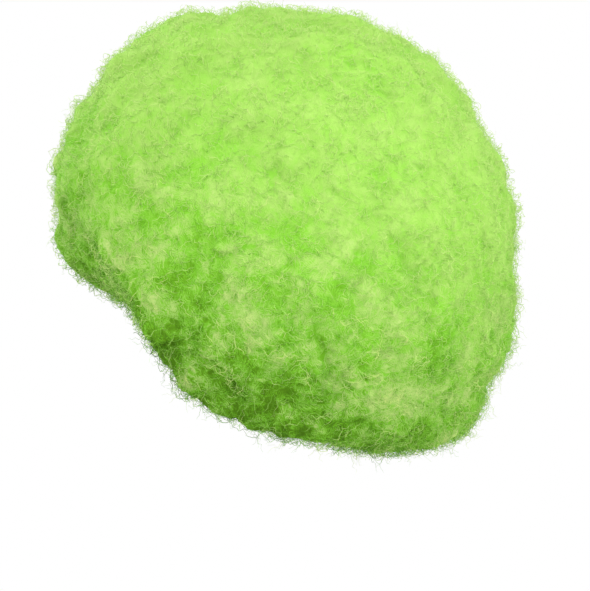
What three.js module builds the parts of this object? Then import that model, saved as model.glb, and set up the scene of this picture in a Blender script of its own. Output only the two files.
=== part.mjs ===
// Afro wig for an adult head: one big ball of frizzed hair on a stretch-net cap, with an elastic band round the
// cap's edge. Millimetres, +Z up, the face looks along -Y and the wearer's left is +X.
// The origin is the crown of the head, where the top of the cap sits on it.
import * as THREE from "three";

// The head that the cap is made for
const headLength = 197;
const headWidth = 155;
const crownToWidest = 97;

// The cap and its edge band
const capWall = 1.8;
const bandWall = 2.6;
const bandWidth = 14;
const pieceGap = 0.4;
const capDropFront = 55;
const capDropTemple = 88;
const capDropEar = 112;
const capDropNape = 158;

// The ball of hair: how far its tips reach from its middle, and where that middle lies
const hairMiddleBack = 33;
const hairMiddleDrop = 34;
const reachTop = 178;
const reachFront = 186;
const reachSide = 174;
const reachBack = 188;

// The lower edge of the hair: how far it lies below the band on the head, and how far the hair bellies under
// its turn
const fringeBelowBand = 30;
const sideBelowBand = 68;
const napeBelowBand = 48;
const hemHang = 40;

// Big clumps and the small tufts on them, with how wide and tall the least of them are beside the greatest
const clumpCount = 60;
const clumpHeight = 8;
const tuftCount = 250;
const tuftHeight = 11;
const tuftSeed = 11;
const tuftWidths = { least: 0.72, greatest: 1.12 };
const tuftHeights = { least: 0.45, greatest: 1 };

// How fine the faces are
const hairFacet = 10.4;
const capFacet = 15;
const outerRows = 40;
const hemRows = 7;
const capRows = 9;
const curtainRows = 5;
const fewestInRing = 8;

const HALF_TURN = Math.PI;
const QUARTER_TURN = Math.PI / 2;
const radians = THREE.MathUtils.degToRad;
const hairMiddle = new THREE.Vector3(0, hairMiddleBack, -hairMiddleDrop);

// Sections of the ball at a longitude, 0 at the face and 180 at the nape. `turn` is the angle from straight up
// at which the hair turns under. The named stations divide the way to it evenly, as shares of the section's reach.
const hairSections = [
  { at: 0, reach: reachFront, crown: 1.01, upper: 1.05, middle: 1.06, lower: 1.04, turn: 95, lip: 0.99 },
  { at: 30, reach: reachFront, crown: 1, upper: 1.04, middle: 1.05, lower: 1.02, turn: 105, lip: 0.84 },
  { at: 48, reach: reachFront, crown: 1, upper: 1.03, middle: 1.02, lower: 1.01, turn: 124, lip: 0.95 },
  { at: 66, reach: reachSide, crown: 1.04, upper: 1.05, middle: 1.03, lower: 1.02, turn: 134, lip: 1.03 },
  { at: 90, reach: reachSide, crown: 1.04, upper: 1.05, middle: 1.02, lower: 1.02, turn: 134, lip: 1.07 },
  { at: 135, reach: reachBack, crown: 0.97, upper: 0.98, middle: 0.99, lower: 1.02, turn: 129, lip: 1.08 },
  { at: 180, reach: reachBack, crown: 0.97, upper: 0.98, middle: 0.98, lower: 1.02, turn: 127, lip: 1.12 },
];

// The lower edge at a longitude: `belowBand` is how far the edge on the head lies below the band, and `hang` is
// how far the hair bellies below its turn, as a share of hemHang.
const hemSections = [
  { at: 0, belowBand: fringeBelowBand, hang: 0.25 },
  { at: 32, belowBand: fringeBelowBand * 0.55, hang: 0.35 },
  { at: 50, belowBand: fringeBelowBand * 0.75, hang: 0.5 },
  { at: 66, belowBand: sideBelowBand * 0.74, hang: 1 },
  { at: 90, belowBand: sideBelowBand, hang: 1.2 },
  { at: 135, belowBand: napeBelowBand * 1.55, hang: 1.45 },
  { at: 180, belowBand: napeBelowBand, hang: 1.4 },
];

// The cap's edge at a longitude, as a depth below the crown
const capSections = [
  { at: 0, drop: capDropFront },
  { at: 50, drop: capDropTemple },
  { at: 90, drop: capDropEar },
  { at: 125, drop: capDropEar * 1.04 },
  { at: 180, drop: capDropNape },
];

// Reads a table of sections at any longitude. Both halves of the wig use the same rows, and the curve through
// them is level at the face and at the nape.
function sectionReader(rows, columns) {
  const curve = new THREE.CubicInterpolant(
    rows.map((row) => row.at),
    rows.flatMap((row) => columns.map((column) => row[column])),
    columns.length,
  );
  curve.settings = { endingStart: THREE.ZeroSlopeEnding, endingEnd: THREE.ZeroSlopeEnding };
  return (longitude) => {
    const degrees = THREE.MathUtils.radToDeg(longitude) % 360;
    const values = [...curve.evaluate(degrees > 180 ? 360 - degrees : degrees)];
    return Object.fromEntries(columns.map((column, i) => [column, values[i]]));
  };
}

const stations = ["crown", "upper", "middle", "lower", "lip"];
const hairSection = sectionReader(hairSections, ["reach", "turn", ...stations]);
const hemSection = sectionReader(hemSections, ["belowBand", "hang"]);
const capSection = sectionReader(capSections, ["drop"]);

// The depths below the crown of the band's lower edge, and of the hair's edge on the head
const bandDrop = (longitude) => capSection(longitude).drop + pieceGap + bandWidth;
const hemDrop = (longitude) => bandDrop(longitude) + hemSection(longitude).belowBand;

// A seeded stream of numbers from 0 to 1
function randomStream(seed) {
  let state = seed;
  return () => {
    state = (Math.imul(state, 1664525) + 1013904223) >>> 0;
    return state / 2 ** 32;
  };
}

// Round-headed tufts over a ball of radius 1, each with its own width and height. They wind down it on a golden
// spiral and are then shaken out of their even places, by about the radius of the patch that each one covers.
function makeTufts(count, height, seed) {
  const random = randomStream(seed);
  const patch = Math.sqrt(4 / count);
  const between = ({ least, greatest }) => THREE.MathUtils.lerp(least, greatest, random());
  return Array.from({ length: count }, (_, i) => {
    const rise = 1 - (2 * (i + 0.5)) / count;
    const turn = HALF_TURN * (3 - Math.sqrt(5)) * i;
    const across = Math.sqrt(1 - rise * rise);
    const place = new THREE.Vector3(across * Math.cos(turn), across * Math.sin(turn), rise);
    const shake = new THREE.Vector3(random() - 0.5, random() - 0.5, random() - 0.5).multiplyScalar(patch);
    const direction = place.add(shake).normalize();
    return { direction, width: patch * between(tuftWidths), height: height * between(tuftHeights) };
  });
}

// How far the tallest tuft over a direction stands out there
function tuftRise(tufts, direction) {
  return tufts.reduce((tallest, tuft) => {
    const share = tuft.direction.distanceTo(direction) / tuft.width;
    return Math.max(tallest, tuft.height * (1 - share * share));
  }, 0);
}

const bigClumps = makeTufts(clumpCount, clumpHeight, tuftSeed);
const smallTufts = makeTufts(tuftCount, tuftHeight, tuftSeed + 1);

// A point of the smooth ball before its tufts, where share runs from 0 at the top to 1 at the turn
function ballPoint(longitude, share) {
  const section = hairSection(longitude);
  const profile = new THREE.SplineCurve([
    new THREE.Vector2(0, reachTop),
    ...stations.map((name, i) => new THREE.Vector2((i + 1) / stations.length, section[name] * section.reach)),
  ]);
  const reach = profile.getPoint(share).y;
  const fromTop = radians(section.turn) * share;
  return new THREE.Vector3(
    reach * Math.sin(fromTop) * Math.sin(longitude),
    -reach * Math.sin(fromTop) * Math.cos(longitude),
    reach * Math.cos(fromTop),
  ).add(hairMiddle);
}

// Pushes a point out from the middle of the ball by the clumps and tufts over it
function tufted(point, strength) {
  const direction = point.clone().sub(hairMiddle).normalize();
  const rise = tuftRise(bigClumps, direction) + tuftRise(smallTufts, direction);
  return point.addScaledVector(direction, rise * strength);
}

// A point at a depth below the crown on a surface that lies `offset` outside the head: a half ellipsoid down to
// the head's widest level, and straight down below it.
function headPoint(longitude, drop, offset) {
  const lean = drop < crownToWidest ? Math.acos(1 - drop / crownToWidest) : QUARTER_TURN;
  const below = Math.max(drop - crownToWidest, 0);
  return new THREE.Vector3(
    (headWidth / 2 + offset) * Math.sin(lean) * Math.sin(longitude),
    -(headLength / 2 + offset) * Math.sin(lean) * Math.cos(longitude),
    (crownToWidest + offset) * Math.cos(lean) - crownToWidest - below,
  );
}

// A closed ring of points, one for each longitude
function ring(count, pointAt) {
  return Array.from({ length: count }, (_, i) => pointAt((2 * HALF_TURN * i) / count));
}

function ringCount(radius, facet) {
  return Math.max(fewestInRing, Math.round((2 * HALF_TURN * radius) / facet));
}

// Rings over the cap from the crown to its edge, at a distance outside the head. The rows crowd towards the
// crown as the depth does on a dome, and the same rows serve the cap and the hair on it.
function capRings(offset) {
  const rings = [[headPoint(0, 0, offset)]];
  for (let row = 1; row <= capRows; row++) {
    const share = row / capRows;
    const radius = (headLength / 2) * Math.sin(share * QUARTER_TURN);
    rings.push(
      ring(ringCount(radius, capFacet), (longitude) => {
        const drop = capSection(longitude).drop;
        return headPoint(longitude, drop * share * share, offset);
      }),
    );
  }
  return rings;
}

const edgeRingCount = ringCount(headLength / 2, capFacet);

function edgeRing(extraDrop, offset) {
  return ring(edgeRingCount, (longitude) => {
    return headPoint(longitude, capSection(longitude).drop + extraDrop, offset);
  });
}

// Triangles between two rings that may have different counts
function stitch(upper, lower) {
  const faces = [];
  let i = 0;
  let j = 0;
  while (i < upper.length || j < lower.length) {
    const upperNext = i < upper.length ? (i + 1) / upper.length : Infinity;
    const lowerNext = j < lower.length ? (j + 1) / lower.length : Infinity;
    const a = upper[i % upper.length];
    const b = lower[j % lower.length];
    if (upperNext < lowerNext) {
      i += 1;
      if (upper.length > 1) faces.push([a, b, upper[i % upper.length]]);
    } else {
      j += 1;
      if (lower.length > 1) faces.push([a, b, lower[j % lower.length]]);
    }
  }
  return faces;
}

// The skin through a stack of rings, from the top one down, facing away from the middle
function skin(rings) {
  return rings.slice(1).flatMap((lower, k) => stitch(rings[k], lower));
}

// A closed body between an outer and an inner skin, which meet at the bottom, and at the top too where each is
// open. Both skins are stitched from the top down, so that the faces of neighbouring bodies are parallel.
function bodyBetween(outside, inside, name, material) {
  const faces = [
    ...skin(outside),
    ...skin(inside).map((face) => [...face].reverse()),
    ...stitch(outside.at(-1), inside.at(-1)),
    ...(inside[0].length > 1 ? stitch(inside[0], outside[0]) : []),
  ];
  const geometry = new THREE.BufferGeometry();
  const corners = faces.flat().flatMap((point) => point.toArray());
  geometry.setAttribute("position", new THREE.Float32BufferAttribute(corners, 3));
  geometry.computeVertexNormals();
  const mesh = new THREE.Mesh(geometry, material);
  mesh.name = name;
  return mesh;
}

// The net cap: a dome from the crown to its edge
function makeCap(material) {
  return bodyBetween(capRings(capWall), capRings(0), "cap", material);
}

// The elastic band that carries on from the cap's edge
function makeBand(material) {
  const bandRings = (offset) => [edgeRing(pieceGap, offset), edgeRing(pieceGap + bandWidth, offset)];
  return bodyBetween(bandRings(bandWall), bandRings(0), "edge_band", material);
}

// The tufted outside of the hair, from its top to where it turns under
function ballRings() {
  const rings = [[tufted(ballPoint(0, 0), 1)]];
  for (let row = 1; row <= outerRows; row++) {
    const share = row / outerRows;
    const side = ballPoint(QUARTER_TURN, share);
    rings.push(ring(ringCount(side.x, hairFacet), (longitude) => tufted(ballPoint(longitude, share), 1)));
  }
  return rings;
}

// The underside of the hair, from where it turns under to its edge on the head. Its tufts die away towards
// that edge.
function hemRings(liningOffset) {
  const rings = [];
  for (let row = 1; row < hemRows; row++) {
    const share = row / hemRows;
    const radius = THREE.MathUtils.lerp(ballPoint(QUARTER_TURN, 1).x, headWidth / 2, share);
    rings.push(
      ring(ringCount(radius, hairFacet), (longitude) => {
        const turn = ballPoint(longitude, 1);
        const belly = turn.clone();
        belly.z -= hemHang * hemSection(longitude).hang;
        const edge = headPoint(longitude, hemDrop(longitude), liningOffset);
        return tufted(new THREE.QuadraticBezierCurve3(turn, belly, edge).getPoint(share), 1 - share ** 3);
      }),
    );
  }
  return rings;
}

// The inside of the hair, from the crown down over the cap and the band and on down to its edge on the head. It
// steps out over the band's thicker wall in the gap between the cap and the band.
function liningRings(liningOffset) {
  const rings = [...capRings(capWall + pieceGap), edgeRing(pieceGap / 2, liningOffset)];
  for (let row = 0; row <= curtainRows; row++) {
    rings.push(
      ring(edgeRingCount, (longitude) => {
        const drop = THREE.MathUtils.lerp(bandDrop(longitude), hemDrop(longitude), row / curtainRows);
        return headPoint(longitude, drop, liningOffset);
      }),
    );
  }
  return rings;
}

// The hair: a tufted ball with a rounded hem, hollow where the head and the cap go
function makeHair(material) {
  const liningOffset = bandWall + pieceGap;
  const outside = [...ballRings(), ...hemRings(liningOffset)];
  return bodyBetween(outside, liningRings(liningOffset), "hair", material);
}

const hairFibre = new THREE.MeshStandardMaterial({ color: "#a3e25c", roughness: 0.85, metalness: 0 });
const capNet = new THREE.MeshStandardMaterial({ color: "#5f9433", roughness: 0.9, metalness: 0 });
const elasticBand = new THREE.MeshStandardMaterial({ color: "#4f7f2c", roughness: 0.8, metalness: 0 });

const wig = new THREE.Group();
wig.add(makeHair(hairFibre), makeCap(capNet), makeBand(elasticBand));

export default wig;
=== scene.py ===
"""Looks for an afro wig: a ball of frizzed, bright green synthetic hair on a net cap with an elastic band.

Metres, +Z up. The face opening is towards -Y and the wearer's left is +X. The origin is the crown of the
wearer's head.
"""

import math

import bpy
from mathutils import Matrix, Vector


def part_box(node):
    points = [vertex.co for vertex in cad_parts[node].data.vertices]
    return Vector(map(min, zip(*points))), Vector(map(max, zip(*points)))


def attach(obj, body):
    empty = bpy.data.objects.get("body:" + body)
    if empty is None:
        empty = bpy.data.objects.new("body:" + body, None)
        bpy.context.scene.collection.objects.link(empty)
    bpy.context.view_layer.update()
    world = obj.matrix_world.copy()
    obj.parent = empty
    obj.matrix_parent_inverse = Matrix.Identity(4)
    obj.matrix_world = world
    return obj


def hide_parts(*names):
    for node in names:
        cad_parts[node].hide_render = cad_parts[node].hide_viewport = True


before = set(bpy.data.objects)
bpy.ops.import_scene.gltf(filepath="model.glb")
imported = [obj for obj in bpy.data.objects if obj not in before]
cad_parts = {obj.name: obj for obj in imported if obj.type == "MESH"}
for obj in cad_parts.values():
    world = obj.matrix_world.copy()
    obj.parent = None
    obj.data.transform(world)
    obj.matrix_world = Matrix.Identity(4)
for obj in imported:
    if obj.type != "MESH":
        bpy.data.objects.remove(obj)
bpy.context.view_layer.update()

MM = 0.001

# The photograph's frame at the middle of the wig, seen from the wearer's left
FRAME_WIDTH_PX = 590
FRAME_HEIGHT_PX = 591
MM_PER_PIXEL = 0.85
CROWN_PIXEL = (245, 190)
CAMERA_DISTANCE = 3.0
CAMERA_SENSOR = 36.0

# The stage: a pale floor far below, the light from all round, and lamps by place, strength and softness in
# degrees
FLOOR_LEVEL = -6.0
FLOOR_SIZE = 160.0
AIR_LIGHT = 0.59
LAMPS = [
    {"name": "camera_side", "at": (3.0, -0.1, 1.1), "strength": 1.95, "softness": 70},
    {"name": "back_side", "at": (1.4, 2.6, 0.0), "strength": 0.5, "softness": 70},
    {"name": "far_back", "at": (-1.6, 2.6, 0.6), "strength": 0.85, "softness": 70},
    {"name": "face_side", "at": (-0.6, -3.0, 0.8), "strength": 0.25, "softness": 70},
    {"name": "far_side", "at": (-3.0, -1.4, 0.9), "strength": 2.2, "softness": 70},
    {"name": "overhead", "at": (0.6, 0.2, 3.0), "strength": 0.33, "softness": 120},
]
REFLECTOR = {"at": (0.9, 2.2, -0.9), "strength": 12.0, "size": 1.2}

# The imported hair: a mass drawn in from the solid so that the loose strands end near its surface, with a gap
# between its inner wall and the cap
DOUBLES_DISTANCE = 0.01 * MM
MASS_VOXEL = 3.8 * MM
MASS_SMOOTHING = 16
MASS_DRAW_IN = 0.5 * MM
LINING_GAP = 1.5 * MM

# How far a point faces away from the head, as a cosine, where the inner wall ends and the outside begins
OUTSIDE_FACING = {"From Min": -0.1, "From Max": 0.35}

# The mass's relief of clumps and curls, and its share from high on the ball down to the foot
CLUMP = {"size": 30 * MM, "height": 8 * MM, "detail": 1.5}
CURL = {"size": 14 * MM, "height": 12 * MM, "detail": 3.0, "distortion": 1.2}
LOOSENING = {"From Min": 100 * MM, "From Max": -150 * MM, "To Min": 0.6, "To Max": 1.1}

# The loose strands. Fleece lies on the mass in low arches from both ends, and wisps stand off it by one end.
FLEECE = {
    "Strands per square metre": 7700.0, "Points on a strand": 9, "Shortest": 9 * MM, "Longest": 17 * MM,
    "Thickness": 0.42 * MM, "Start": 0.5, "Sink": 0.3 * MM, "Arch": 4.5 * MM, "Lift": 0.1, "Lean": 1.0,
    "Stray": 0.9, "Curl radius": 1.5 * MM, "Curl pitch": 7 * MM, "Frizz": 2.4 * MM,
}
WISPS = {
    "Strands per square metre": 6100.0, "Points on a strand": 9, "Shortest": 7 * MM, "Longest": 17 * MM,
    "Thickness": 0.3 * MM, "Start": 0.0, "Sink": 0.5 * MM, "Arch": 0.0, "Lift": 0.55, "Lean": 0.6,
    "Stray": 0.7, "Curl radius": 1.7 * MM, "Curl pitch": 7 * MM, "Frizz": 3.0 * MM,
}
STRAND_LAYERS = [
    {"name": "fleece_one", "strands": FLEECE, "seed": 1},
    {"name": "fleece_two", "strands": FLEECE, "seed": 2},
    {"name": "fleece_three", "strands": FLEECE, "seed": 3},
    {"name": "wisps_one", "strands": WISPS, "seed": 4},
    {"name": "wisps_two", "strands": WISPS, "seed": 5},
]

# What every strand draws for itself: the least, the most, and a number that keeps the draws apart. The arch,
# the pitch and the radius are drawn as shares of the layer's own.
STRAY_DRAW = 21
LENGTH_DRAW = 22
CHOICES = {
    "arch": (0.2, 1.8, 23), "pitch": (0.7, 1.5, 24), "first turn": (0.0, math.tau, 25),
    "radius": (0.2, 1.3, 26), "frizz": (0.0, 6.0, 27), "tone": (0.0, 1.0, 28),
}

# Strands of one lock lean the same way. The curl opens over the first part of a strand, and small swirls
# frizz it.
LOCK_SIZE = 24 * MM
CURL_OPENS_BY = 0.25
FRIZZ_SIZE = 5 * MM

# A strand is a thin tube that narrows from its middle to its tip. Towards the inner wall strands thin out,
# by this power of how far outside they stand.
STRAND_SIDES = 3
STRAND_TAPER = {"From Min": 0.5, "To Min": 1.0, "To Max": 0.35}
THINNING_POWER = 2.0

# The loose fringe: from its top down to its foot the strands grow to this many times their length
FRINGE_TOP = -50 * MM
FRINGE_FOOT = -170 * MM
FRINGE_GROWTH = 1.6

# The dyed fibre's colours, from the deep green of the painted shade between fibres to the pale green of the
# painted light on the tips
HAIR_COLOURS = (
    (0.0, "#64981e"), (0.25, "#7cc02a"), (0.45, "#90da40"),
    (0.6, "#aee068"), (0.8, "#c7e886"), (1.0, "#daf28c"),
)

# The hem is higher at the face, so the levels of the painted shade slant with it. These give where the
# painted shade of the sides and of the underside begins and ends, how pale the top is in its painted light
# and what the others lose to painted shade, and how much the fibres differ at the top, faint in the painted
# light, and gain in the painted shade below.
HEM_SLANT = (0.0, 0.45, 1.0)
SIDES = {"From Min": 60 * MM, "From Max": -190 * MM}
UNDERSIDE = {"From Min": -115 * MM, "From Max": -185 * MM}
PALENESS_AND_PAINTED_SHADE = {"top": 0.575, "sides": -0.14, "underside": -0.32}
CONTRAST = {"top": 0.22, "sides": 1.3, "underside": 0.5}

# Cloudy patches of fluffed and of flattened hair
CLOUD = {"size": 45 * MM, "detail": 4.0, "roughness": 0.6, "weight": 0.32}
CLOUD_SPAN = {"From Min": 0.3, "From Max": 0.7, "To Min": -0.5, "To Max": 0.5}

# Light scatters in loose hair, so part of its facing for light is that of the whole ball, away from the
# ball's middle: this share of it for the mass and for a strand
BALL_MIDDLE = (0.0, 33 * MM, -34 * MM)
MASS_SCATTER = 0.92
STRAND_SCATTER = 0.3

# The fibres packed in the mass: how they bend, the ways that they cross, and what makes them paler: the
# fibres' own pattern with a painted highlight on it over painted shade in the gaps, and painted light on the
# crests of the relief with painted shade in its hollows
BROAD_BEND = {"size": 14 * MM, "by": 7 * MM}
FINE_BEND = {"size": 4 * MM, "by": 2.2 * MM}
FIBRE_WAYS = ((0.6, 0.7, 0.39), (-0.5, 0.74, 0.45), (0.1, -0.3, 0.95), (0.35, 0.9, -0.2))
FIBRE_SPACING = 1.7 * MM
FIBRE_PATCH = 8 * MM
PATCH_SHIFT = 37 * MM
FIBRES_SHOWN = {"From Min": 0.42, "From Max": 0.6}
FIBRE_RELIEF = 0.2 * MM
CREST_SPAN = {"From Min": 0.35, "From Max": 0.65}
PACKED_FIBRES_AND_PAINTED_LIGHT = {"fibre": 0.3, "crest": 0.4, "start": -0.35}

# What makes a loose strand paler: painted light by how high it has risen, which leaves painted shade near
# its root, and its own tone. It is also painted paler than the mass all over, as painted light.
RISEN_SPAN = {"From Min": -1 * MM, "From Max": 9 * MM}
LOOSE_TONE_AND_PAINTED_LIGHT = {"risen_painted_light": 0.3, "tone": 0.5, "start": -0.4, "risen anywhere": 0.15, "anywhere": 0.12}

# The inside: rows of weft tape sewn round the net, and the patterns of the net, the stitches and the elastic
WEFTS = {
    "Rows": 12, "Points in a row": 73, "First level": -14 * MM, "Row spacing": 12 * MM,
    "Tape width": 3.2 * MM, "Tape thickness": 1.0 * MM, "Inset": 0.3 * MM,
}
TAPE_SIDES = 6
CAST_REACH = 0.5
HEAD_RADIUS = 85 * MM
NET_CELL = 3 * MM
NET_THREAD = {"From Min": 0.55, "From Max": 0.25}
NET_RELIEF = 0.4 * MM
STITCH = 2.4 * MM
STITCH_RELIEF = 0.3 * MM
ELASTIC_RIB = 1.8 * MM
ELASTIC_RELIEF = 0.4 * MM

# Kinds of node that are used often
MATH = "ShaderNodeMath"
VECTOR = "ShaderNodeVectorMath"
NOISE = "ShaderNodeTexNoise"
MAP = "ShaderNodeMapRange"
MIX = "ShaderNodeMix"
SPLIT = "ShaderNodeSeparateXYZ"
BUMP = "ShaderNodeBump"
ATTRIBUTE = "ShaderNodeAttribute"
RANDOM = "FunctionNodeRandomValue"
STORE = "GeometryNodeStoreNamedAttribute"
STORED = "GeometryNodeInputNamedAttribute"

# Places of sockets that share their name: of a random vector and number, and of three kinds of mix
LEAST_VECTOR, MOST_VECTOR = 0, 1
LEAST, MOST, WHOSE, DRAW, DRAWN = 2, 3, 7, 8, 1
NUMBER_A, NUMBER_B = 2, 3
VECTOR_A, VECTOR_B, VECTOR_MIX = 4, 5, 1
COLOUR_A, COLOUR_B, COLOUR_MIX = 6, 7, 2

# The middle of what a noise gives, and the detail of one that has no finer noise on it
NOISE_MIDDLE = 0.5
PLAIN = 1.0

# Names of the values that the meshes carry, for their materials or for a later step of the same tree
OUTSIDE = "outside"
CREST = "crest"
HEIGHT = "height"
TONE = "tone"
STRAND = "strand"
ALONG = "along"
ROW = "row"
OUTWARD = "outward"


def linear(hex_colour):
    """An sRGB colour such as "#a3e25c" as linear red, green and blue, and a full alpha."""
    parts = [int(hex_colour[i:i + 2], 16) / 255 for i in (1, 3, 5)]
    return [c / 12.92 if c <= 0.04045 else ((c + 0.055) / 1.055) ** 2.4 for c in parts] + [1.0]


def add(tree, kind, inputs=(), out=0, **settings):
    """Adds a node and gives one of its outputs. An input, by name or place, takes a value or the output of
    another node."""
    node = tree.nodes.new(kind)
    for name, value in settings.items():
        setattr(node, name, value)
    for name, value in inputs.items() if isinstance(inputs, dict) else enumerate(inputs):
        if isinstance(value, bpy.types.NodeSocket):
            tree.links.new(value, node.inputs[name])
        else:
            node.inputs[name].default_value = value
    return node.outputs[out] if node.outputs else None


def aim(thing, at):
    """Turns a lamp or a camera to look at a point."""
    thing.rotation_euler = (Vector(at) - thing.location).to_track_quat("-Z", "Y").to_euler()


def make_camera():
    """A long lens on the wearer's left, level with the middle of the photograph."""
    middle_back = (FRAME_WIDTH_PX / 2 - CROWN_PIXEL[0]) * MM_PER_PIXEL * MM
    middle_up = (CROWN_PIXEL[1] - FRAME_HEIGHT_PX / 2) * MM_PER_PIXEL * MM
    lens = bpy.data.cameras.new("camera")
    lens.sensor_width = CAMERA_SENSOR
    lens.lens = CAMERA_SENSOR * CAMERA_DISTANCE / (FRAME_HEIGHT_PX * MM_PER_PIXEL * MM)
    lens.clip_end = FLOOR_SIZE
    camera = bpy.data.objects.new("camera", lens)
    camera.location = (CAMERA_DISTANCE, middle_back, middle_up)
    aim(camera, (0, middle_back, middle_up))
    bpy.context.collection.objects.link(camera)
    bpy.context.scene.camera = camera


make_camera()


def new_tree(name, inputs):
    """A Geometry Nodes tree with a mesh in and out, and the outputs of its group input by the names of its
    sizes."""
    tree = bpy.data.node_groups.new(name, "GeometryNodeTree")
    tree.interface.new_socket("Geometry", in_out="INPUT", socket_type="NodeSocketGeometry")
    tree.interface.new_socket("Geometry", in_out="OUTPUT", socket_type="NodeSocketGeometry")
    for label, kind in inputs.items():
        tree.interface.new_socket(label, in_out="INPUT", socket_type=kind)
    return tree, tree.nodes.new("NodeGroupInput").outputs


def finish_tree(tree, geometry, material):
    """Ends a tree: smooth faces, real meshes in place of instances, and the material."""
    geometry = add(tree, "GeometryNodeSetShadeSmooth", {"Geometry": geometry, "Shade Smooth": True})
    geometry = add(tree, "GeometryNodeRealizeInstances", {"Geometry": geometry})
    geometry = add(tree, "GeometryNodeSetMaterial", {"Geometry": geometry, "Material": material})
    add(tree, "NodeGroupOutput", {"Geometry": geometry})


def grown(base, tree, name, values):
    """What a tree makes of a base mesh, as a plain mesh object of its own."""
    modifier = base.modifiers.new("growth", "NODES")
    modifier.node_group = tree
    for item in tree.interface.items_tree:
        if item.in_out == "INPUT" and item.name in values:
            modifier[item.identifier] = values[item.name]
    evaluated = base.evaluated_get(bpy.context.evaluated_depsgraph_get())
    mesh = bpy.data.meshes.new_from_object(evaluated)
    mesh.name = name
    base.modifiers.remove(modifier)
    piece = bpy.data.objects.new(name, mesh)
    bpy.context.collection.objects.link(piece)
    return piece


def swirl(tree, place, size, draw=None):
    """A smooth field of vectors, each way from about -1 to 1, whose swirls are `size` across. A draw, where
    one is given, picks one of many such fields."""
    inputs = {"Vector": place, "Scale": 1 / size, "Detail": PLAIN}
    if draw is not None:
        inputs["W"] = draw
    noise = add(tree, NOISE, inputs, out="Color", noise_dimensions="3D" if draw is None else "4D")
    centred = add(tree, VECTOR, [noise, (NOISE_MIDDLE, NOISE_MIDDLE, NOISE_MIDDLE)], operation="SUBTRACT")
    return add(tree, VECTOR, {0: centred, "Scale": 1 / NOISE_MIDDLE}, operation="SCALE")


def tousle_tree(material):
    """Turns the smooth packed hair into clumps and curls, and stores how far each point is outside and how
    much it stands out."""
    tree, sizes = new_tree("tousle", {
        "Clump size": "NodeSocketFloat", "Clump height": "NodeSocketFloat", "Curl size": "NodeSocketFloat",
        "Curl height": "NodeSocketFloat", "Draw in": "NodeSocketFloat", "Lining gap": "NodeSocketFloat",
        "Head middle": "NodeSocketVector",
    })
    place = add(tree, "GeometryNodeInputPosition")
    normal = add(tree, "GeometryNodeInputNormal")
    from_head = add(tree, VECTOR, [place, sizes["Head middle"]], operation="SUBTRACT")
    from_head = add(tree, VECTOR, [from_head], operation="NORMALIZE")
    facing = add(tree, VECTOR, [from_head, normal], out="Value", operation="DOT_PRODUCT")
    outside = add(tree, MAP, {"Value": facing, **OUTSIDE_FACING}, interpolation_type="SMOOTHSTEP")

    clump_scale = add(tree, MATH, [1.0, sizes["Clump size"]], operation="DIVIDE")
    clump = add(tree, NOISE, {"Vector": place, "Scale": clump_scale, "Detail": CLUMP["detail"]})
    clump_rise = add(tree, MATH, [clump, NOISE_MIDDLE], operation="SUBTRACT")
    clump_rise = add(tree, MATH, [clump_rise, sizes["Clump height"]], operation="MULTIPLY")
    curl_scale = add(tree, MATH, [1.0, sizes["Curl size"]], operation="DIVIDE")
    curl = add(tree, NOISE, {"Vector": place, "Scale": curl_scale, "Detail": CURL["detail"],
                             "Distortion": CURL["distortion"]})
    curl_rise = add(tree, MATH, [curl, NOISE_MIDDLE], operation="SUBTRACT")
    curl_rise = add(tree, MATH, [curl_rise, sizes["Curl height"]], operation="MULTIPLY")

    relief = add(tree, MATH, [clump_rise, curl_rise], operation="ADD")
    level = add(tree, SPLIT, [place], out="Z")
    loosening = add(tree, MAP, {"Value": level, **LOOSENING})
    rise = add(tree, MATH, [relief, loosening], operation="MULTIPLY")
    rise = add(tree, MATH, [rise, sizes["Draw in"]], operation="SUBTRACT")
    drawn_in = add(tree, MATH, [sizes["Lining gap"], -1.0], operation="MULTIPLY")
    move = add(tree, MIX, {"Factor": outside, NUMBER_A: drawn_in, NUMBER_B: rise})
    # How much it stands out, which the packed hair's material reads for painted shade in hollows and light on
    # crests
    both = add(tree, MATH, [clump, curl], operation="ADD")
    crest = add(tree, MATH, [both, 0.5], operation="MULTIPLY")

    geometry = add(tree, STORE, {"Geometry": sizes["Geometry"], "Name": OUTSIDE, "Value": outside})
    geometry = add(tree, STORE, {"Geometry": geometry, "Name": CREST, "Value": crest})
    offset = add(tree, VECTOR, {0: normal, "Scale": move}, operation="SCALE")
    geometry = add(tree, "GeometryNodeSetPosition", {"Geometry": geometry, "Offset": offset})
    finish_tree(tree, geometry, material)
    return tree


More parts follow.
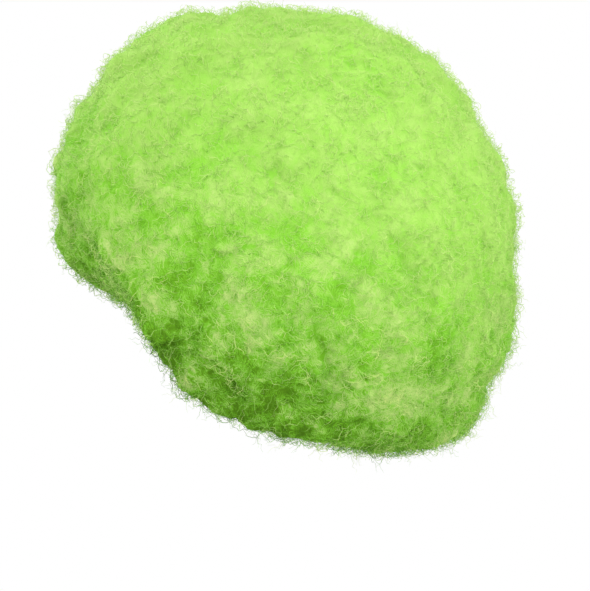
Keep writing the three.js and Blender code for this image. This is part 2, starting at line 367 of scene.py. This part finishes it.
def strand_tree(material):
    """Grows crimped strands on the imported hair. Each takes a heading along the surface from its neighbours
    and a stray of its own, rises by its lift or its arch, and winds and frizzes on its way."""
    tree, sizes = new_tree("strands", {
        "Strands per square metre": "NodeSocketFloat", "Points on a strand": "NodeSocketInt",
        "Shortest": "NodeSocketFloat", "Longest": "NodeSocketFloat", "Thickness": "NodeSocketFloat",
        "Start": "NodeSocketFloat", "Sink": "NodeSocketFloat", "Arch": "NodeSocketFloat",
        "Lift": "NodeSocketFloat", "Lean": "NodeSocketFloat", "Stray": "NodeSocketFloat",
        "Curl radius": "NodeSocketFloat", "Curl pitch": "NodeSocketFloat", "Frizz": "NodeSocketFloat",
        "Seed": "NodeSocketInt",
    })
    outside = add(tree, STORED, {"Name": OUTSIDE})
    share = add(tree, MATH, [outside, THINNING_POWER], operation="POWER")
    density = add(tree, MATH, [share, sizes["Strands per square metre"]], operation="MULTIPLY")
    roots = add(tree, "GeometryNodeDistributePointsOnFaces",
                {"Mesh": sizes["Geometry"], "Density": density, "Seed": sizes["Seed"]})
    index = add(tree, "GeometryNodeInputIndex")
    points = add(tree, STORE, {"Geometry": roots, "Name": STRAND, "Value": index}, data_type="INT")
    points = add(tree, STORE, {"Geometry": points, "Name": OUTWARD, "Value": roots.node.outputs["Normal"]},
                 data_type="FLOAT_VECTOR")
    copies = add(tree, "GeometryNodeDuplicateElements",
                 {"Geometry": points, "Amount": sizes["Points on a strand"]}, domain="POINT")
    last = add(tree, MATH, [sizes["Points on a strand"], 1.0], operation="SUBTRACT")
    along = add(tree, MATH, [copies.node.outputs["Duplicate Index"], last], operation="DIVIDE")
    strand = add(tree, STORED, {"Name": STRAND}, data_type="INT")
    outward = add(tree, STORED, {"Name": OUTWARD}, data_type="FLOAT_VECTOR")
    root = add(tree, "GeometryNodeInputPosition")
    own = {}
    for choice, (least, most, draw) in CHOICES.items():
        own[choice] = add(tree, RANDOM, {LEAST: least, MOST: most, WHOSE: strand, DRAW: draw}, out=DRAWN)

    # The heading: what leans and strays along the surface, and the lift off it
    lean = add(tree, VECTOR, {0: swirl(tree, root, LOCK_SIZE), "Scale": sizes["Lean"]}, operation="SCALE")
    whim = add(tree, RANDOM, {LEAST_VECTOR: (-1, -1, -1), MOST_VECTOR: (1, 1, 1), WHOSE: strand,
                              DRAW: STRAY_DRAW}, data_type="FLOAT_VECTOR")
    stray = add(tree, VECTOR, {0: whim, "Scale": sizes["Stray"]}, operation="SCALE")
    wander = add(tree, VECTOR, [lean, stray], operation="ADD")
    upright = add(tree, VECTOR, [wander, outward], operation="PROJECT")
    flat = add(tree, VECTOR, [wander, upright], operation="SUBTRACT")
    flat = add(tree, VECTOR, [flat], operation="NORMALIZE")
    lifted = add(tree, VECTOR, {0: outward, "Scale": sizes["Lift"]}, operation="SCALE")
    heading = add(tree, VECTOR, [flat, lifted], operation="ADD")
    heading = add(tree, VECTOR, [heading], operation="NORMALIZE")
    side = add(tree, VECTOR, [heading, outward], operation="CROSS_PRODUCT")
    side = add(tree, VECTOR, [side], operation="NORMALIZE")
    other = add(tree, VECTOR, [heading, side], operation="CROSS_PRODUCT")

    # How far it has gone along the heading
    length = add(tree, RANDOM, {LEAST: sizes["Shortest"], MOST: sizes["Longest"], WHOSE: strand,
                                DRAW: LENGTH_DRAW}, out=DRAWN)
    level = add(tree, SPLIT, [root], out="Z")
    growth = add(tree, MAP, {"Value": level, "From Min": FRINGE_TOP, "From Max": FRINGE_FOOT, "To Min": 1.0,
                             "To Max": FRINGE_GROWTH})
    length = add(tree, MATH, [length, growth], operation="MULTIPLY")
    part = add(tree, MATH, [along, sizes["Start"]], operation="SUBTRACT")
    gone = add(tree, MATH, [length, part], operation="MULTIPLY")

    # How high it stands over its root on the arch
    half_turn = add(tree, MATH, [along, math.pi], operation="MULTIPLY")
    swing = add(tree, MATH, [half_turn], operation="SINE")
    arch = add(tree, MATH, [sizes["Arch"], own["arch"]], operation="MULTIPLY")
    rise = add(tree, MATH, [arch, swing], operation="MULTIPLY")
    rise = add(tree, MATH, [rise, sizes["Sink"]], operation="SUBTRACT")

    # How far it is off to the two sides on the curl
    pitch = add(tree, MATH, [sizes["Curl pitch"], own["pitch"]], operation="MULTIPLY")
    turns = add(tree, MATH, [gone, pitch], operation="DIVIDE")
    turn = add(tree, MATH, [turns, math.tau, own["first turn"]], operation="MULTIPLY_ADD")
    opening = add(tree, MAP, {"Value": along, "From Max": CURL_OPENS_BY}, interpolation_type="SMOOTHSTEP")
    radius = add(tree, MATH, [sizes["Curl radius"], own["radius"]], operation="MULTIPLY")
    radius = add(tree, MATH, [radius, opening], operation="MULTIPLY")
    cosine = add(tree, MATH, [turn], operation="COSINE")
    sine = add(tree, MATH, [turn], operation="SINE")
    across = add(tree, MATH, [radius, cosine], operation="MULTIPLY")
    over = add(tree, MATH, [radius, sine], operation="MULTIPLY")

    path = root
    for direction, distance in ((heading, gone), (outward, rise), (side, across), (other, over)):
        step = add(tree, VECTOR, {0: direction, "Scale": distance}, operation="SCALE")
        path = add(tree, VECTOR, [path, step], operation="ADD")
    shake = add(tree, MATH, [sizes["Frizz"], opening], operation="MULTIPLY")
    bend = swirl(tree, path, FRIZZ_SIZE, draw=own["frizz"])
    frizz = add(tree, VECTOR, {0: bend, "Scale": shake}, operation="SCALE")
    path = add(tree, VECTOR, [path, frizz], operation="ADD")
    off_root = add(tree, VECTOR, [path, root], operation="SUBTRACT")
    height = add(tree, VECTOR, [off_root, outward], out="Value", operation="DOT_PRODUCT")

    # Points are moved last, so that what is stored first still reads the root
    points = add(tree, STORE, {"Geometry": copies, "Name": ALONG, "Value": along})
    points = add(tree, STORE, {"Geometry": points, "Name": HEIGHT, "Value": height})
    points = add(tree, STORE, {"Geometry": points, "Name": TONE, "Value": own["tone"]})
    points = add(tree, "GeometryNodeSetPosition", {"Geometry": points, "Position": path})
    come = add(tree, STORED, {"Name": ALONG})
    curves = add(tree, "GeometryNodePointsToCurves",
                 {"Points": points, "Curve Group ID": strand, "Weight": come})
    half = add(tree, MATH, [sizes["Thickness"], 0.5], operation="MULTIPLY")
    profile = add(tree, "GeometryNodeCurvePrimitiveCircle", {"Resolution": STRAND_SIDES, "Radius": half})
    taper = add(tree, MAP, {"Value": come, **STRAND_TAPER})
    tubes = add(tree, "GeometryNodeCurveToMesh",
                {"Curve": curves, "Profile Curve": profile, "Scale": taper, "Fill Caps": True})
    finish_tree(tree, tubes, material)
    return tree


def new_material(name):
    """A node material with its tree and its Principled shader."""
    material = bpy.data.materials.new(name)
    material.use_nodes = True
    return material, material.node_tree, material.node_tree.nodes["Principled BSDF"]


def hair_colour(tree, light):
    """The fibre's colour for how pale it is."""
    colour = add(tree, "ShaderNodeValToRGB", {"Fac": light})
    elements = colour.node.color_ramp.elements
    elements[0].color = linear(HAIR_COLOURS[0][1])
    elements[1].color = linear(HAIR_COLOURS[-1][1])
    for place, shade in HAIR_COLOURS[1:-1]:
        elements.new(place).color = linear(shade)
    return colour


def paleness_with_painted_light_and_shade(tree, place, fine):
    """How pale the hair is, 0 to 1, with painted light on top and painted shade down the sides and under the
    hem, where the green gets deeper. The clouds and the fibres' own differences are faint in the painted
    light on top, and stand out more in the painted shade down the sides."""
    level = add(tree, VECTOR, [place, HEM_SLANT], out="Value", operation="DOT_PRODUCT")
    sides_shade = add(tree, MAP, {"Value": level, **SIDES}, interpolation_type="SMOOTHSTEP")
    underside_shade = add(tree, MAP, {"Value": level, **UNDERSIDE}, interpolation_type="SMOOTHSTEP")
    cloud = add(tree, NOISE, {"Vector": place, "Scale": 1 / CLOUD["size"], "Detail": CLOUD["detail"],
                              "Roughness": CLOUD["roughness"]})
    cloud = add(tree, MAP, {"Value": cloud, **CLOUD_SPAN})
    # The differences are faint in the painted light on top and grow in the painted shade down the sides and
    # under
    contrast = add(tree, MATH, [underside_shade, CONTRAST["underside"], CONTRAST["top"]], operation="MULTIPLY_ADD")
    contrast = add(tree, MATH, [sides_shade, CONTRAST["sides"], contrast], operation="MULTIPLY_ADD")
    varied = add(tree, MATH, [cloud, CLOUD["weight"], fine], operation="MULTIPLY_ADD")
    varied = add(tree, MATH, [varied, contrast], operation="MULTIPLY")
    # Painted light on the top, and painted shade down the sides and, at the end, under the hem
    base = add(tree, MATH, [sides_shade, PALENESS_AND_PAINTED_SHADE["sides"], PALENESS_AND_PAINTED_SHADE["top"]], operation="MULTIPLY_ADD")
    light = add(tree, MATH, [varied, base], operation="ADD")
    return add(tree, MATH, [underside_shade, PALENESS_AND_PAINTED_SHADE["underside"], light], operation="MULTIPLY_ADD")


def scattered_facing(tree, place, share):
    """The way the surface faces for light. On the outside the whole ball's facing counts by the share given,
    and that of each fold or strand by the rest."""
    own = add(tree, "ShaderNodeNewGeometry", out="Normal")
    away = add(tree, VECTOR, [place, BALL_MIDDLE], operation="SUBTRACT")
    away = add(tree, VECTOR, [away], operation="NORMALIZE")
    outside = add(tree, ATTRIBUTE, out="Fac", attribute_name=OUTSIDE)
    factor = add(tree, MATH, [outside, share], operation="MULTIPLY")
    mixed = add(tree, MIX, {"Factor": factor, VECTOR_A: own, VECTOR_B: away}, out=VECTOR_MIX,
                data_type="VECTOR")
    return add(tree, VECTOR, [mixed], operation="NORMALIZE")


def ridges(tree, across, spacing):
    """Even ridges across a distance, 0 between them and 1 on top."""
    turn = add(tree, MATH, [across, math.tau / spacing], operation="MULTIPLY")
    wave = add(tree, MATH, [turn], operation="SINE")
    return add(tree, MATH, [wave, 0.5, 0.5], operation="MULTIPLY_ADD")


def fibre_lines(tree, place, way):
    """Fibres side by side along a way, faded in and out in patches of their own."""
    across = add(tree, VECTOR, [place, way], out="Value", operation="DOT_PRODUCT")
    line = ridges(tree, across, FIBRE_SPACING)
    shifted = add(tree, VECTOR, [place, [PATCH_SHIFT * part for part in way]], operation="ADD")
    patches = add(tree, NOISE, {"Vector": shifted, "Scale": 1 / FIBRE_PATCH, "Detail": PLAIN})
    shown = add(tree, MAP, {"Value": patches, **FIBRES_SHOWN})
    return add(tree, MATH, [line, shown], operation="MULTIPLY")


def packed_hair():
    """Modacrylic fibre packed into a mass: matt, with fine crimped fibres painted paler as a highlight over
    gaps painted darker as shade, and painted shade in the hollows of its relief."""
    material, tree, shader = new_material("packed modacrylic fibre")
    place = add(tree, "ShaderNodeTexCoord", out="Object")
    bent = place
    for bend in (BROAD_BEND, FINE_BEND):
        swirls = swirl(tree, place, bend["size"])
        push = add(tree, VECTOR, {0: swirls, "Scale": bend["by"]}, operation="SCALE")
        bent = add(tree, VECTOR, [bent, push], operation="ADD")
    fibre = None
    # Real fibres are under 0.1 mm thick and are drawn 1.7 mm apart so that they show
    for way in FIBRE_WAYS:
        lines = fibre_lines(tree, bent, way)
        fibre = lines if fibre is None else add(tree, MATH, [fibre, lines], operation="MAXIMUM")
    # Painted shade in the hollows of the relief and painted light on its crests
    crest = add(tree, ATTRIBUTE, out="Fac", attribute_name=CREST)
    crest = add(tree, MAP, {"Value": crest, **CREST_SPAN})
    fine = add(tree, MATH, [crest, PACKED_FIBRES_AND_PAINTED_LIGHT["crest"], PACKED_FIBRES_AND_PAINTED_LIGHT["start"]], operation="MULTIPLY_ADD")
    # The fibres' pattern, painted paler as a highlight over painted shade in the gaps
    fine = add(tree, MATH, [fibre, PACKED_FIBRES_AND_PAINTED_LIGHT["fibre"], fine], operation="MULTIPLY_ADD")
    light = paleness_with_painted_light_and_shade(tree, place, fine)
    tree.links.new(hair_colour(tree, light), shader.inputs["Base Color"])
    facing = scattered_facing(tree, place, MASS_SCATTER)
    bump = add(tree, BUMP, {"Height": fibre, "Distance": FIBRE_RELIEF, "Normal": facing})
    tree.links.new(bump, shader.inputs["Normal"])
    shader.inputs["Roughness"].default_value = 0.85
    shader.inputs["Specular IOR Level"].default_value = 0.1
    return material


def loose_hair():
    """Crimped modacrylic fibre: a soft gloss, with painted shade that makes it deeper green near its root and
    painted light that makes it paler where it rises off the mass, and paler all over than the mass."""
    material, tree, shader = new_material("crimped modacrylic fibre")
    place = add(tree, "ShaderNodeTexCoord", out="Object")
    height = add(tree, ATTRIBUTE, out="Fac", attribute_name=HEIGHT)
    # Painted light that grows as the strand rises off the mass, with painted shade near the root
    risen_painted_light = add(tree, MAP, {"Value": height, **RISEN_SPAN})
    tone = add(tree, ATTRIBUTE, out="Fac", attribute_name=TONE)
    fine = add(tree, MATH, [tone, LOOSE_TONE_AND_PAINTED_LIGHT["tone"], LOOSE_TONE_AND_PAINTED_LIGHT["start"]], operation="MULTIPLY_ADD")
    fine = add(tree, MATH, [risen_painted_light, LOOSE_TONE_AND_PAINTED_LIGHT["risen_painted_light"], fine], operation="MULTIPLY_ADD")
    light = paleness_with_painted_light_and_shade(tree, place, fine)
    # More painted light by the rise, and painted light that makes every strand paler than the mass
    light = add(tree, MATH, [risen_painted_light, LOOSE_TONE_AND_PAINTED_LIGHT["risen anywhere"], light], operation="MULTIPLY_ADD")
    light = add(tree, MATH, [light, LOOSE_TONE_AND_PAINTED_LIGHT["anywhere"]], operation="ADD")
    tree.links.new(hair_colour(tree, light), shader.inputs["Base Color"])
    tree.links.new(scattered_facing(tree, place, STRAND_SCATTER), shader.inputs["Normal"])
    shader.inputs["Roughness"].default_value = 0.6
    shader.inputs["Specular IOR Level"].default_value = 0.2
    return material


def merged_copy(node, name):
    """A copy of a CAD node's mesh, as an object of its own that merges its doubles."""
    copy = bpy.data.objects.new(name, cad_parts[node].data.copy())
    bpy.context.collection.objects.link(copy)
    weld = copy.modifiers.new("weld", "WELD")
    weld.merge_threshold = DOUBLES_DISTANCE
    return copy


def applied(piece, name):
    """The piece with its modifiers made part of a plain mesh."""
    evaluated = piece.evaluated_get(bpy.context.evaluated_depsgraph_get())
    mesh = bpy.data.meshes.new_from_object(evaluated)
    mesh.name = name
    bpy.data.objects.remove(piece)
    result = bpy.data.objects.new(name, mesh)
    bpy.context.collection.objects.link(result)
    return result


def make_mass(material):
    """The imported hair, remeshed evenly from the solid and then tousled."""
    rough = merged_copy("hair", "rough_mass")
    remesh = rough.modifiers.new("remesh", "REMESH")
    remesh.mode = "VOXEL"
    remesh.voxel_size = MASS_VOXEL
    smooth = rough.modifiers.new("smooth", "SMOOTH")
    smooth.iterations = MASS_SMOOTHING
    even = applied(rough, "even_mass")
    even.data.materials.clear()
    cap_low, cap_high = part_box("cap")
    mass = grown(even, tousle_tree(material), "hair_mass", {
        "Clump size": CLUMP["size"], "Clump height": CLUMP["height"], "Curl size": CURL["size"],
        "Curl height": CURL["height"], "Draw in": MASS_DRAW_IN, "Lining gap": LINING_GAP,
        "Head middle": (0, 0, (cap_low[2] + cap_high[2]) / 2),
    })
    bpy.data.objects.remove(even)
    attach(mass, "root")
    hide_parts("hair")
    return mass


def make_strands(mass, material):
    """The loose strands, in layers that each keep to a size that the export takes."""
    tree = strand_tree(material)
    for layer in STRAND_LAYERS:
        piece = grown(mass, tree, layer["name"], {**layer["strands"], "Seed": layer["seed"]})
        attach(piece, "root")
        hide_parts("hair")


def weft_tree(material):
    """Rows of tape round the inside of the cap, level by level. Each point is cast outwards from the middle
    of the head, and where the cap is open for the face it hits nothing and is dropped."""
    tree, sizes = new_tree("wefts", {
        "Rows": "NodeSocketInt", "Points in a row": "NodeSocketInt", "First level": "NodeSocketFloat",
        "Row spacing": "NodeSocketFloat", "Tape width": "NodeSocketFloat",
        "Tape thickness": "NodeSocketFloat", "Inset": "NodeSocketFloat", "Head middle": "NodeSocketVector",
    })
    count = add(tree, MATH, [sizes["Rows"], sizes["Points in a row"]], operation="MULTIPLY")
    index = add(tree, "GeometryNodeInputIndex")
    row = add(tree, MATH, [index, sizes["Points in a row"]], operation="DIVIDE")
    row = add(tree, MATH, [row], operation="FLOOR")
    step = add(tree, MATH, [index, sizes["Points in a row"]], operation="MODULO")
    steps = add(tree, MATH, [sizes["Points in a row"], 1.0], operation="SUBTRACT")
    share = add(tree, MATH, [step, steps], operation="DIVIDE")
    turn = add(tree, MATH, [share, math.tau], operation="MULTIPLY")
    drop = add(tree, MATH, [row, sizes["Row spacing"]], operation="MULTIPLY")
    level = add(tree, MATH, [sizes["First level"], drop], operation="SUBTRACT")
    left = add(tree, MATH, [turn], operation="SINE")
    back = add(tree, MATH, [turn], operation="COSINE")
    back = add(tree, MATH, [back, -1.0], operation="MULTIPLY")
    direction = add(tree, "ShaderNodeCombineXYZ", [left, back, 0.0])
    middle = add(tree, SPLIT, [sizes["Head middle"]], out="Y")
    start = add(tree, "ShaderNodeCombineXYZ", [0.0, middle, level])
    hit = add(tree, "GeometryNodeRaycast", {
        "Target Geometry": sizes["Geometry"], "Source Position": start, "Ray Direction": direction,
        "Ray Length": CAST_REACH,
    })
    cast = hit.node.outputs
    inset = add(tree, VECTOR, {0: direction, "Scale": sizes["Inset"]}, operation="SCALE")
    place = add(tree, VECTOR, [cast["Hit Position"], inset], operation="SUBTRACT")

    points = add(tree, "GeometryNodePoints", {"Count": count})
    points = add(tree, STORE, {"Geometry": points, "Name": ROW, "Value": row}, data_type="INT")
    points = add(tree, STORE, {"Geometry": points, "Name": ALONG, "Value": step})
    points = add(tree, "GeometryNodeSetPosition", {"Geometry": points, "Position": place})
    missed = add(tree, "FunctionNodeBooleanMath", [cast["Is Hit"]], operation="NOT")
    points = add(tree, "GeometryNodeDeleteGeometry", {"Geometry": points, "Selection": missed},
                 domain="POINT")
    whose = add(tree, STORED, {"Name": ROW}, data_type="INT")
    come = add(tree, STORED, {"Name": ALONG})
    rows = add(tree, "GeometryNodePointsToCurves",
               {"Points": points, "Curve Group ID": whose, "Weight": come})
    rows = add(tree, "GeometryNodeSetCurveNormal", {"Curve": rows}, mode="Z_UP")
    half = add(tree, MATH, [sizes["Tape width"], 0.5], operation="MULTIPLY")
    flatness = add(tree, MATH, [sizes["Tape thickness"], sizes["Tape width"]], operation="DIVIDE")
    profile = add(tree, "GeometryNodeCurvePrimitiveCircle", {"Resolution": TAPE_SIDES, "Radius": half})
    squash = add(tree, "ShaderNodeCombineXYZ", [flatness, 1.0, 1.0])
    profile = add(tree, "GeometryNodeTransform", {"Geometry": profile, "Scale": squash})
    tapes = add(tree, "GeometryNodeCurveToMesh", {"Curve": rows, "Profile Curve": profile, "Fill Caps": True})
    finish_tree(tree, tapes, material)
    return tree


def way_round(tree, place):
    """The distance round the head, measured at the head's usual radius."""
    split = add(tree, SPLIT, [place]).node.outputs
    turn = add(tree, MATH, [split["X"], split["Y"]], operation="ARCTAN2")
    return add(tree, MATH, [turn, HEAD_RADIUS], operation="MULTIPLY")


def two_tone(tree, shader, pattern, deep, pale, relief):
    """Colours a surface from deep to pale by a pattern of 0 to 1, and raises it by the relief on the pale."""
    colour = add(tree, MIX, {"Factor": pattern, COLOUR_A: linear(deep), COLOUR_B: linear(pale)},
                 out=COLOUR_MIX, data_type="RGBA")
    tree.links.new(colour, shader.inputs["Base Color"])
    bump = add(tree, BUMP, {"Height": pattern, "Distance": relief})
    tree.links.new(bump, shader.inputs["Normal"])


def cap_net():
    """Knitted polyamide net: matt, small diamond cells whose threads stand out over the deeper green."""
    material, tree, shader = new_material("knitted polyamide net")
    place = add(tree, "ShaderNodeTexCoord", out="Object")
    around = way_round(tree, place)
    up = add(tree, SPLIT, [place], out="Z")
    threads = None
    # The real cells are about 1.5 mm and are drawn at twice that so that they show
    for slant in (1.0, -1.0):
        across = add(tree, MATH, [up, slant, around], operation="MULTIPLY_ADD")
        turn = add(tree, MATH, [across, math.pi / NET_CELL], operation="MULTIPLY")
        wave = add(tree, MATH, [turn], operation="SINE")
        wave = add(tree, MATH, [wave], operation="ABSOLUTE")
        thread = add(tree, MAP, {"Value": wave, **NET_THREAD}, interpolation_type="SMOOTHSTEP")
        threads = thread if threads is None else add(tree, MATH, [threads, thread], operation="MAXIMUM")
    two_tone(tree, shader, threads, "#78b244", "#b4e67e", NET_RELIEF)
    shader.inputs["Roughness"].default_value = 0.8
    return material


def weft_tape():
    """Woven polyester tape, sewn down: a little glossier than the net, with close stitches across it."""
    material, tree, shader = new_material("woven polyester tape")
    around = way_round(tree, add(tree, "ShaderNodeTexCoord", out="Object"))
    # Real stitches are about 1.2 mm apart and are drawn at twice that so that they show
    two_tone(tree, shader, ridges(tree, around, STITCH), "#a0d462", "#c8ee92", STITCH_RELIEF)
    shader.inputs["Roughness"].default_value = 0.6
    return material


def ribbed_elastic():
    """Rubber elastic covered in polyester yarn: matt, with close gathered ribs across the band."""
    material, tree, shader = new_material("covered rubber elastic")
    around = way_round(tree, add(tree, "ShaderNodeTexCoord", out="Object"))
    # Real ribs are about 0.9 mm apart and are drawn at twice that so that they show
    two_tone(tree, shader, ridges(tree, around, ELASTIC_RIB), "#68a038", "#a0d666", ELASTIC_RELIEF)
    shader.inputs["Roughness"].default_value = 0.75
    return material


def rounded_copy(node, name, material):
    """A copy of a CAD node with its facets rounded off, in place of the node."""
    copy = merged_copy(node, name + "_facets")
    smooth = copy.modifiers.new("smooth", "SUBSURF")
    smooth.levels = 1
    smooth.render_levels = 1
    piece = applied(copy, name)
    piece.data.materials.clear()
    piece.data.materials.append(material)
    piece.data.shade_smooth()
    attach(piece, "root")
    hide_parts(node)
    return piece


def make_inside():
    """The net cap with its rows of weft tape, and the elastic band."""
    net = rounded_copy("cap", "cap_net", cap_net())
    cap_low, cap_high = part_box("cap")
    middle = tuple((a + b) / 2 for a, b in zip(cap_low, cap_high))
    wefts = grown(net, weft_tree(weft_tape()), "weft_rows", {**WEFTS, "Head middle": middle})
    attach(wefts, "root")
    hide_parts("cap")
    rounded_copy("edge_band", "elastic_band", ribbed_elastic())


def make_floor():
    """A wide floor far below, matt light grey for its light, and plain white to the camera."""
    floor_mesh = bpy.data.meshes.new("floor")
    half = FLOOR_SIZE / 2
    corners = [(x, y, FLOOR_LEVEL) for x, y in ((-half, -half), (half, -half), (half, half), (-half, half))]
    floor_mesh.from_pydata(corners, [], [(0, 1, 2, 3)])
    floor = bpy.data.objects.new("floor", floor_mesh)
    bpy.context.collection.objects.link(floor)
    material, tree, shader = new_material("matt white floor")
    shader.inputs["Base Color"].default_value = linear("#a8a8a6")
    shader.inputs["Roughness"].default_value = 0.9
    glow = add(tree, "ShaderNodeEmission", {"Color": (1, 1, 1, 1), "Strength": 1.0})
    seen = add(tree, "ShaderNodeLightPath", out="Is Camera Ray")
    both = add(tree, "ShaderNodeMixShader", [seen, shader.outputs[0], glow])
    tree.links.new(both, tree.nodes["Material Output"].inputs["Surface"])
    floor_mesh.materials.append(material)


def make_air():
    """A white world that lights the wig from all round, and whites that stay white in the picture."""
    world = bpy.data.worlds.new("studio")
    bpy.context.scene.world = world
    world.use_nodes = True
    tree = world.node_tree
    background = tree.nodes["Background"]
    background.inputs["Color"].default_value = (1, 1, 1, 1)
    seen = add(tree, "ShaderNodeLightPath", out="Is Camera Ray")
    strength = add(tree, MAP, {"Value": seen, "To Min": AIR_LIGHT, "To Max": 1.0})
    tree.links.new(strength, background.inputs["Strength"])
    bpy.context.scene.view_settings.view_transform = "Standard"


def stand_lamp(lamp, at):
    """A lamp at its place, turned to the crown of the head."""
    light = bpy.data.objects.new(lamp.name, lamp)
    light.location = at
    aim(light, (0, 0, 0))
    bpy.context.collection.objects.link(light)
    return light


def make_lamps():
    """Wide soft lamps on all sides, and a reflector low behind the wig."""
    for row in LAMPS:
        lamp = bpy.data.lights.new(row["name"], "SUN")
        lamp.energy = row["strength"]
        lamp.angle = math.radians(row["softness"])
        stand_lamp(lamp, row["at"])
    panel = bpy.data.lights.new("reflector", "AREA")
    panel.size = REFLECTOR["size"]
    panel.energy = REFLECTOR["strength"]
    stand_lamp(panel, REFLECTOR["at"]).visible_camera = False


make_floor()
make_air()
make_lamps()
mass = make_mass(packed_hair())
make_strands(mass, loose_hair())
make_inside()
